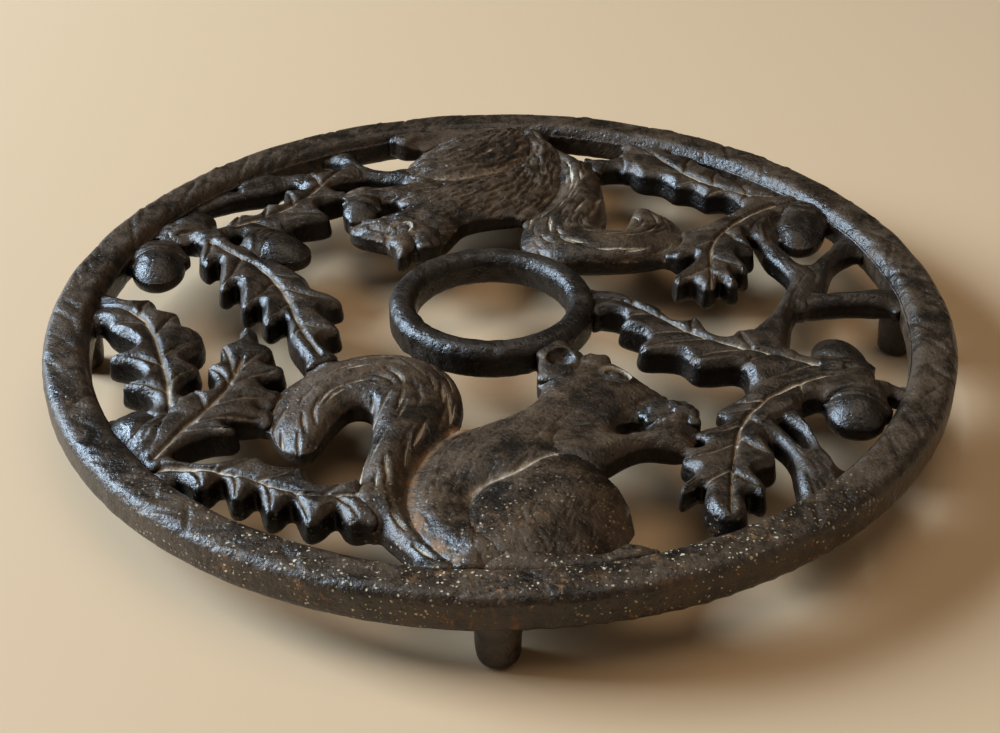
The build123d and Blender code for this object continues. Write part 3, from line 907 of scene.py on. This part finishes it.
looksByWord = {
    "_nut": nutLook,
    "acorn": acornLook,
    "squirrel": furLook,
    "leaf": leafLook,
    "twig": twigLook,
    "ring": ringLook,
}


def lookFor(node):
    if node.startswith("foot_"):
        return footLook
    return next((look for word, look in looksByWord.items() if word in node), rimLook)


for node in frame["nodes"]:
    castBlank(node, lookFor(node)["voxel"], lookFor(node)["soften"])
findWalls()
print("stage: blanks cast, edges found")
carveRim()
carveFeet()
carveRing()
print("stage: rim, feet and ring carved")
carveLeaves()
print("stage: leaves carved")
carveSquirrels()
print("stage: squirrels carved")
carveAcorns()
print("stage: acorns carved")
carveTwigs()
print("stage: twigs carved")


# Finishes
def newGroup(name, setting, outputs):
    group = bpy.data.node_groups.new(name, "ShaderNodeTree")
    socket = group.interface.new_socket(setting, in_out="INPUT", socket_type="NodeSocketFloat")
    socket.default_value = 1
    for label in outputs:
        group.interface.new_socket(label, in_out="OUTPUT", socket_type="NodeSocketFloat")
    return group, group.nodes.new("NodeGroupInput").outputs[setting], group.nodes.new("NodeGroupOutput")


def objectCoords(tree):
    return tree.nodes.new("ShaderNodeTexCoord").outputs["Object"]


def meshMask(tree, name):
    mark = tree.nodes.new("ShaderNodeAttribute")
    mark.attribute_name = name
    return mark.outputs["Fac"]


def addNoise(tree, coords, scale, detail, rough):
    noise = tree.nodes.new("ShaderNodeTexNoise")
    noise.inputs["Scale"].default_value = scale
    noise.inputs["Detail"].default_value = detail
    noise.inputs["Roughness"].default_value = rough
    tree.links.new(coords, noise.inputs["Vector"])
    return noise.outputs


def addCells(tree, coords, scale):
    cells = tree.nodes.new("ShaderNodeTexVoronoi")
    cells.inputs["Scale"].default_value = scale
    tree.links.new(coords, cells.inputs["Vector"])
    return cells.outputs


def addMath(tree, kind, first, second, clamp=False):
    node = tree.nodes.new("ShaderNodeMath")
    node.operation = kind
    node.use_clamp = clamp
    for socket, value in zip(node.inputs, (first, second)):
        if isinstance(value, (int, float)):
            socket.default_value = value
        else:
            tree.links.new(value, socket)
    return node.outputs[0]


def addProduct(tree, first, second, clamp=False):
    return addMath(tree, "MULTIPLY", first, second, clamp)


def addSum(tree, *values):
    total = values[0]
    for value in values[1:]:
        total = addMath(tree, "ADD", total, value)
    return total


def addRange(tree, value, low, high):
    node = tree.nodes.new("ShaderNodeMapRange")
    node.interpolation_type = "SMOOTHSTEP"
    node.inputs["From Min"].default_value = low
    node.inputs["From Max"].default_value = high
    tree.links.new(value, node.inputs["Value"])
    return node.outputs["Result"]


def addPatches(tree, coords, noise, low, high):
    return addRange(tree, addNoise(tree, coords, *noise)["Fac"], low, high)


def addMix(tree, share, first, second):
    node = tree.nodes.new("ShaderNodeMix")
    node.data_type = "RGBA"
    tree.links.new(share, node.inputs["Factor"])
    for socket, value in ((node.inputs[6], first), (node.inputs[7], second)):
        if isinstance(value, tuple):
            socket.default_value = (*value, 1)
        else:
            tree.links.new(value, socket)
    return node.outputs[2]


# In the effects below a noise is its scale, detail and roughness, and a range comes after it
grainLook = {
    "sand": (1700, 4, 0.62),
    "skin": (520, 3, 0.55),
    "pits": 620,
    "pitRange": (0.0, 0.34),
    "heights": {"sand": 0.55, "skin": 1.1, "pits": 0.35},
    "cloud": (75, 4, 0.6),
    "blotch": (280, 4, 0.6),
    "tones": {"cloud": 0.45, "blotch": 0.35, "sand": 0.2},
    "toneRange": (0.4, 0.6),
}


def makeCastGrainAndShade():
    look, heights, tones = grainLook, grainLook["heights"], grainLook["tones"]
    group, depth, leave = newGroup("castGrainAndShade", "Depth", ("Height", "Tone", "HollowShade"))
    coords = objectCoords(group)
    sand = addNoise(group, coords, *look["sand"])["Fac"]
    skin = addNoise(group, coords, *look["skin"])["Fac"]
    pits = addRange(group, addCells(group, coords, look["pits"])["Distance"], *look["pitRange"])
    height = addSum(
        group,
        addProduct(group, sand, heights["sand"]),
        addProduct(group, skin, heights["skin"]),
        addProduct(group, pits, heights["pits"]),
    )
    tone = addSum(
        group,
        addProduct(group, addNoise(group, coords, *look["cloud"])["Fac"], tones["cloud"]),
        addProduct(group, addNoise(group, coords, *look["blotch"])["Fac"], tones["blotch"]),
        addProduct(group, sand, tones["sand"]),
    )
    group.links.new(addProduct(group, height, depth), leave.inputs["Height"])
    group.links.new(addRange(group, tone, *look["toneRange"]), leave.inputs["Tone"])
    # Besides grain and tone, this passes on the hollow mask, which carries painted shade
    group.links.new(meshMask(group, "hollow"), leave.inputs["HollowShade"])
    return group


frontHeight = (0.009, 0.013)  # metres, above the feet


def addFront(tree, coords, start, end):
    place = tree.nodes.new("ShaderNodeSeparateXYZ")
    tree.links.new(coords, place.inputs["Vector"])
    forward = addRange(tree, addProduct(tree, place.outputs["Y"], -1), start, end)
    return addProduct(tree, forward, addRange(tree, place.outputs["Z"], *frontHeight))


dustLook = {
    "broken": ((260, 4, 0.65), 0.32, 0.62),
    "grainy": ((1300, 3, 0.6), 0.3, 0.6),
    "grainShare": 0.7,
    "grainLeast": 0.3,
    "paleRange": (0.7, 0.95),
    "paleShare": 0.85,
    "range": (0.3, 0.95),
}


def makeSettledDust():
    look = dustLook
    group, amount, leave = newGroup("settledDust", "Amount", ("Mask", "Pale"))
    coords = objectCoords(group)
    mark = meshMask(group, "dust")
    broken = addPatches(group, coords, *look["broken"])
    grainy = addPatches(group, coords, *look["grainy"])
    pale = addRange(group, mark, *look["paleRange"])
    grains = addSum(group, addProduct(group, grainy, look["grainShare"]), look["grainLeast"])
    loose = addProduct(group, broken, grains)
    loose = addMath(group, "MAXIMUM", loose, addProduct(group, pale, look["paleShare"]))
    share = addProduct(group, addRange(group, mark, *look["range"]), loose)
    group.links.new(pale, leave.inputs["Pale"])
    group.links.new(addProduct(group, share, amount, True), leave.inputs["Mask"])
    return group


rustLook = {
    "patch": ((120, 4, 0.6), 0.48, 0.66),
    "fleck": ((640, 4, 0.65), 0.5, 0.68),
    "front": (0.07, 0.09),
    "behind": 0.22,
    "worn": ((190, 4, 0.65), 0.34, 0.6),
    "seamRange": (0.35, 0.95),
    "seamShare": 0.95,
}


def makeSeamRust():
    look = rustLook
    group, amount, leave = newGroup("seamRust", "Amount", ("Mask",))
    coords = objectCoords(group)
    spots = addProduct(group, addPatches(group, coords, *look["patch"]), addPatches(group, coords, *look["fleck"]))
    loose = addProduct(group, spots, addSum(group, addFront(group, coords, *look["front"]), look["behind"]))
    worn = addProduct(group, addPatches(group, coords, *look["worn"]), look["seamShare"])
    deep = addProduct(group, addRange(group, meshMask(group, "seam"), *look["seamRange"]), worn)
    share = addMath(group, "MAXIMUM", loose, deep)
    group.links.new(addProduct(group, share, amount, True), leave.inputs["Mask"])
    return group


edgeLook = {"broken": ((330, 4, 0.6), 0.42, 0.7)}


def makeWornEdge():
    group, amount, leave = newGroup("wornEdge", "Amount", ("Mask",))
    broken = addPatches(group, objectCoords(group), *edgeLook["broken"])
    share = addProduct(group, meshMask(group, "edge"), broken)
    group.links.new(addProduct(group, share, amount, True), leave.inputs["Mask"])
    return group


fleckLook = {
    "wobble": (1100, 2, 0.5),
    "wobbleReach": 0.0009,
    "cells": 1150,
    "sizes": (0.10, 0.27),  # the least and what is added to it
    "soft": 0.09,
    "kept": (0.28, 0.34),
    "patch": ((85, 4, 0.65), 0.36, 0.56),
    "front": (0.055, 0.088),
}


def makePaleFlecks():
    look = fleckLook
    group, amount, leave = newGroup("paleFlecks", "Amount", ("Mask",))
    coords = objectCoords(group)
    wobble = group.nodes.new("ShaderNodeVectorMath")
    wobble.operation = "MULTIPLY_ADD"
    group.links.new(addNoise(group, coords, *look["wobble"])["Color"], wobble.inputs[0])
    wobble.inputs[1].default_value = (look["wobbleReach"],) * 3
    group.links.new(coords, wobble.inputs[2])
    cells = addCells(group, wobble.outputs["Vector"], look["cells"])
    chance = group.nodes.new("ShaderNodeSeparateColor")
    group.links.new(cells["Color"], chance.inputs["Color"])
    least, more = look["sizes"]
    size = addSum(group, addProduct(group, chance.outputs["Green"], more), least)
    dot = addRange(group, addMath(group, "SUBTRACT", size, cells["Distance"]), 0, look["soft"])
    dot = addProduct(group, dot, addRange(group, chance.outputs["Red"], *look["kept"]))
    dot = addProduct(group, dot, addPatches(group, coords, *look["patch"]))
    share = addProduct(group, dot, addFront(group, coords, *look["front"]))
    group.links.new(addProduct(group, share, amount, True), leave.inputs["Mask"])
    return group


# Faces that turn away from straight up get painted shade: a near-black colour, and Metallic to dim their
# reflections
shadedWallLook = {"facing": (0.05, 0.55)}


def makeShadedWalls():
    group, amount, leave = newGroup("paintedWallShade", "Amount", ("Mask",))
    facing = group.nodes.new("ShaderNodeSeparateXYZ")
    group.links.new(group.nodes.new("ShaderNodeNewGeometry").outputs["Normal"], facing.inputs["Vector"])
    share = addMath(group, "SUBTRACT", 1, addRange(group, facing.outputs["Z"], *shadedWallLook["facing"]))
    group.links.new(addProduct(group, share, amount, True), leave.inputs["Mask"])
    return group


groups = {
    "grain": makeCastGrainAndShade(),
    "wall": makeShadedWalls(),
    "dust": makeSettledDust(),
    "rust": makeSeamRust(),
    "edge": makeWornEdge(),
    "flecks": makePaleFlecks(),
}
dustColour = (0.27, 0.178, 0.098)
paleDustColour = (0.52, 0.430, 0.310)
rustColour = (0.20, 0.084, 0.022)
wornColour = (0.080, 0.058, 0.040)
fleckColour = (0.56, 0.45, 0.29)
# Near-black painted shade, used in hollows and on walls
hollowColour = (0.0050, 0.0036, 0.0026)
paintLook = {
    "hollow": 0.8,
    "dullRough": 0.4,
    "toneRough": 0.16,
    "bumpStrength": 0.75,
    "bumpDistance": 0.00026,
    # how far Metallic dims reflections on the walls with painted shade
    "wallShadeMetallic": 0.55,
    "specular": 0.54,
}
# In each finish, wall is the share of painted shade on faces that turn sideways
finishes = {
    "rim_iron": {
        "dark": (0.0064, 0.0042, 0.0026), "pale": (0.068, 0.0410, 0.0215), "rough": 0.29, "grain": 1.7,
        "wall": 0.1, "dust": 0.4, "rust": 0.95, "edge": 0.45, "flecks": 1.0,
    },
    "ring_iron": {
        "dark": (0.0048, 0.0035, 0.0026), "pale": (0.030, 0.0205, 0.0130), "rough": 0.25, "grain": 1.8,
        "wall": 0.3, "dust": 0.25, "rust": 0.5, "edge": 0.35, "flecks": 0.15,
    },
    "squirrel_iron": {
        "dark": (0.0078, 0.0049, 0.0029), "pale": (0.082, 0.0475, 0.0235), "rough": 0.31, "grain": 1.5,
        "wall": 0.7, "dust": 1.0, "rust": 1.0, "edge": 0.4, "flecks": 0.8,
    },
    "leaf_iron": {
        "dark": (0.0062, 0.0041, 0.0026), "pale": (0.056, 0.0335, 0.0175), "rough": 0.28, "grain": 1.5,
        "wall": 0.95, "dust": 1.15, "rust": 0.6, "edge": 0.45, "flecks": 0.5,
    },
    "acorn_iron": {
        "dark": (0.0050, 0.0035, 0.0025), "pale": (0.036, 0.0225, 0.0130), "rough": 0.25, "grain": 1.3,
        "wall": 0.6, "dust": 0.55, "rust": 0.9, "edge": 0.35, "flecks": 0.3,
    },
    "twig_iron": {
        "dark": (0.0050, 0.0035, 0.0025), "pale": (0.040, 0.0250, 0.0145), "rough": 0.28, "grain": 1.5,
        "wall": 0.95, "dust": 0.45, "rust": 0.8, "edge": 0.4, "flecks": 0.3,
    },
}


def paintedIron(slotName, finish):
    look = paintLook
    paint = bpy.data.materials.new(slotName)
    paint.use_nodes = True
    tree = paint.node_tree
    shader = tree.nodes["Principled BSDF"]

    def place(kind, setting="Amount"):
        node = tree.nodes.new("ShaderNodeGroup")
        node.node_tree = groups[kind]
        node.inputs[setting].default_value = finish[kind]
        return node.outputs

    grain = place("grain", "Depth")
    wall = place("wall")["Mask"]
    edge = place("edge")["Mask"]
    rust = place("rust")["Mask"]
    dust = place("dust")
    flecks = place("flecks")["Mask"]
    colour = addMix(tree, grain["Tone"], finish["dark"], finish["pale"])
    # Painted shade in hollows
    colour = addMix(tree, addProduct(tree, grain["HollowShade"], look["hollow"]), colour, hollowColour)
    # Painted shade on walls
    colour = addMix(tree, wall, colour, hollowColour)
    colour = addMix(tree, edge, colour, wornColour)
    colour = addMix(tree, rust, colour, rustColour)
    colour = addMix(tree, dust["Mask"], colour, addMix(tree, dust["Pale"], dustColour, paleDustColour))
    colour = addMix(tree, flecks, colour, fleckColour)
    tree.links.new(colour, shader.inputs["Base Color"])
    dull = addMath(tree, "MAXIMUM", addMath(tree, "MAXIMUM", rust, dust["Mask"]), flecks)
    rough = addSum(tree, addProduct(tree, dull, look["dullRough"]), finish["rough"])
    rough = addMath(tree, "ADD", rough, addProduct(tree, grain["Tone"], look["toneRough"]), True)
    tree.links.new(rough, shader.inputs["Roughness"])
    # The walls' painted shade also dims their reflections through Metallic, less where dust, rust or flecks cover
    # them
    covered = addProduct(tree, dull, look["wallShadeMetallic"])
    wallShadeMetallic = addProduct(tree, wall, addMath(tree, "SUBTRACT", look["wallShadeMetallic"], covered))
    tree.links.new(wallShadeMetallic, shader.inputs["Metallic"])
    bump = tree.nodes.new("ShaderNodeBump")
    bump.inputs["Strength"].default_value = look["bumpStrength"]
    bump.inputs["Distance"].default_value = look["bumpDistance"]
    tree.links.new(grain["Height"], bump.inputs["Height"])
    tree.links.new(bump.outputs["Normal"], shader.inputs["Normal"])
    shader.inputs["Specular IOR Level"].default_value = look["specular"]
    return paint


paints = {name: paintedIron(name, finish) for name, finish in finishes.items()}
slotOf = {entry["node"]: entry["material_slot"] for entry in frame["record"]["subparts"]}
for node, piece in cast.items():
    piece.data.materials.append(paints[slotOf[node]])
    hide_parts(node)
    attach(piece, "root")
print("stage: painted", len(cast), "pieces")

# Floor, light and camera
floorLook = {"size": 6, "colour": (0.63, 0.430, 0.250), "rough": 0.75}
bpy.ops.object.select_all(action="DESELECT")
bpy.ops.mesh.primitive_plane_add(size=floorLook["size"], location=(0, 0, 0))
floor = bpy.context.object
floor.name = "floor"
floorPaint = bpy.data.materials.new("pale_floor")
floorPaint.use_nodes = True
floorShader = floorPaint.node_tree.nodes["Principled BSDF"]
floorShader.inputs["Base Color"].default_value = (*floorLook["colour"], 1)
floorShader.inputs["Roughness"].default_value = floorLook["rough"]
floor.data.materials.append(floorPaint)

lamps = {
    "window": {"place": (-1.6, 0.40, 0.82), "size": 0.9, "power": 93, "colour": (0.62, 0.80, 1.0)},
    "ceiling": {"place": (0.05, 0.0, 0.85), "size": 0.7, "power": 2.2, "colour": (1.0, 0.86, 0.70)},
    "room": {"place": (0.6, -0.35, 0.4), "size": 0.7, "power": 0.5, "colour": (1.0, 0.86, 0.70)},
}
for name, lamp in lamps.items():
    bpy.ops.object.select_all(action="DESELECT")
    bpy.ops.object.light_add(type="AREA", location=lamp["place"])
    light = bpy.context.object
    light.name = name
    light.data.size = lamp["size"]
    light.data.energy = lamp["power"]
    light.data.color = lamp["colour"]
    light.rotation_euler = (-Vector(lamp["place"])).to_track_quat("-Z", "Y").to_euler()

worldLook = {"colour": (1.0, 0.80, 0.58), "strength": 0.062}
world = bpy.data.worlds.new("studio")
world.use_nodes = True
background = world.node_tree.nodes["Background"]
background.inputs["Color"].default_value = (*worldLook["colour"], 1)
background.inputs["Strength"].default_value = worldLook["strength"]
bpy.context.scene.world = world
bpy.context.scene.view_settings.view_transform = "Standard"

cameraLook = {
    "lens": 57.6,
    "sensor": 36,
    "clipStart": 0.01,
    "aim": (0, -27.84, 18.5),
    "away": 333.8,
    "elevation": 33.5,
    "roll": -0.23,
}
tilt = math.radians(cameraLook["elevation"])
aim = Vector(cameraLook["aim"]) * mm
eye = aim + Vector((0, -math.cos(tilt), math.sin(tilt))) * cameraLook["away"] * mm
bpy.ops.object.camera_add(location=eye)
camera = bpy.context.object
camera.data.lens = cameraLook["lens"]
camera.data.sensor_width = cameraLook["sensor"]
camera.data.clip_start = cameraLook["clipStart"]
roll = Matrix.Rotation(math.radians(cameraLook["roll"]), 3, "Z")
camera.rotation_euler = ((aim - eye).to_track_quat("-Z", "Y").to_matrix() @ roll).to_euler()
bpy.context.scene.camera = camera
print("stage: floor, light and camera set")
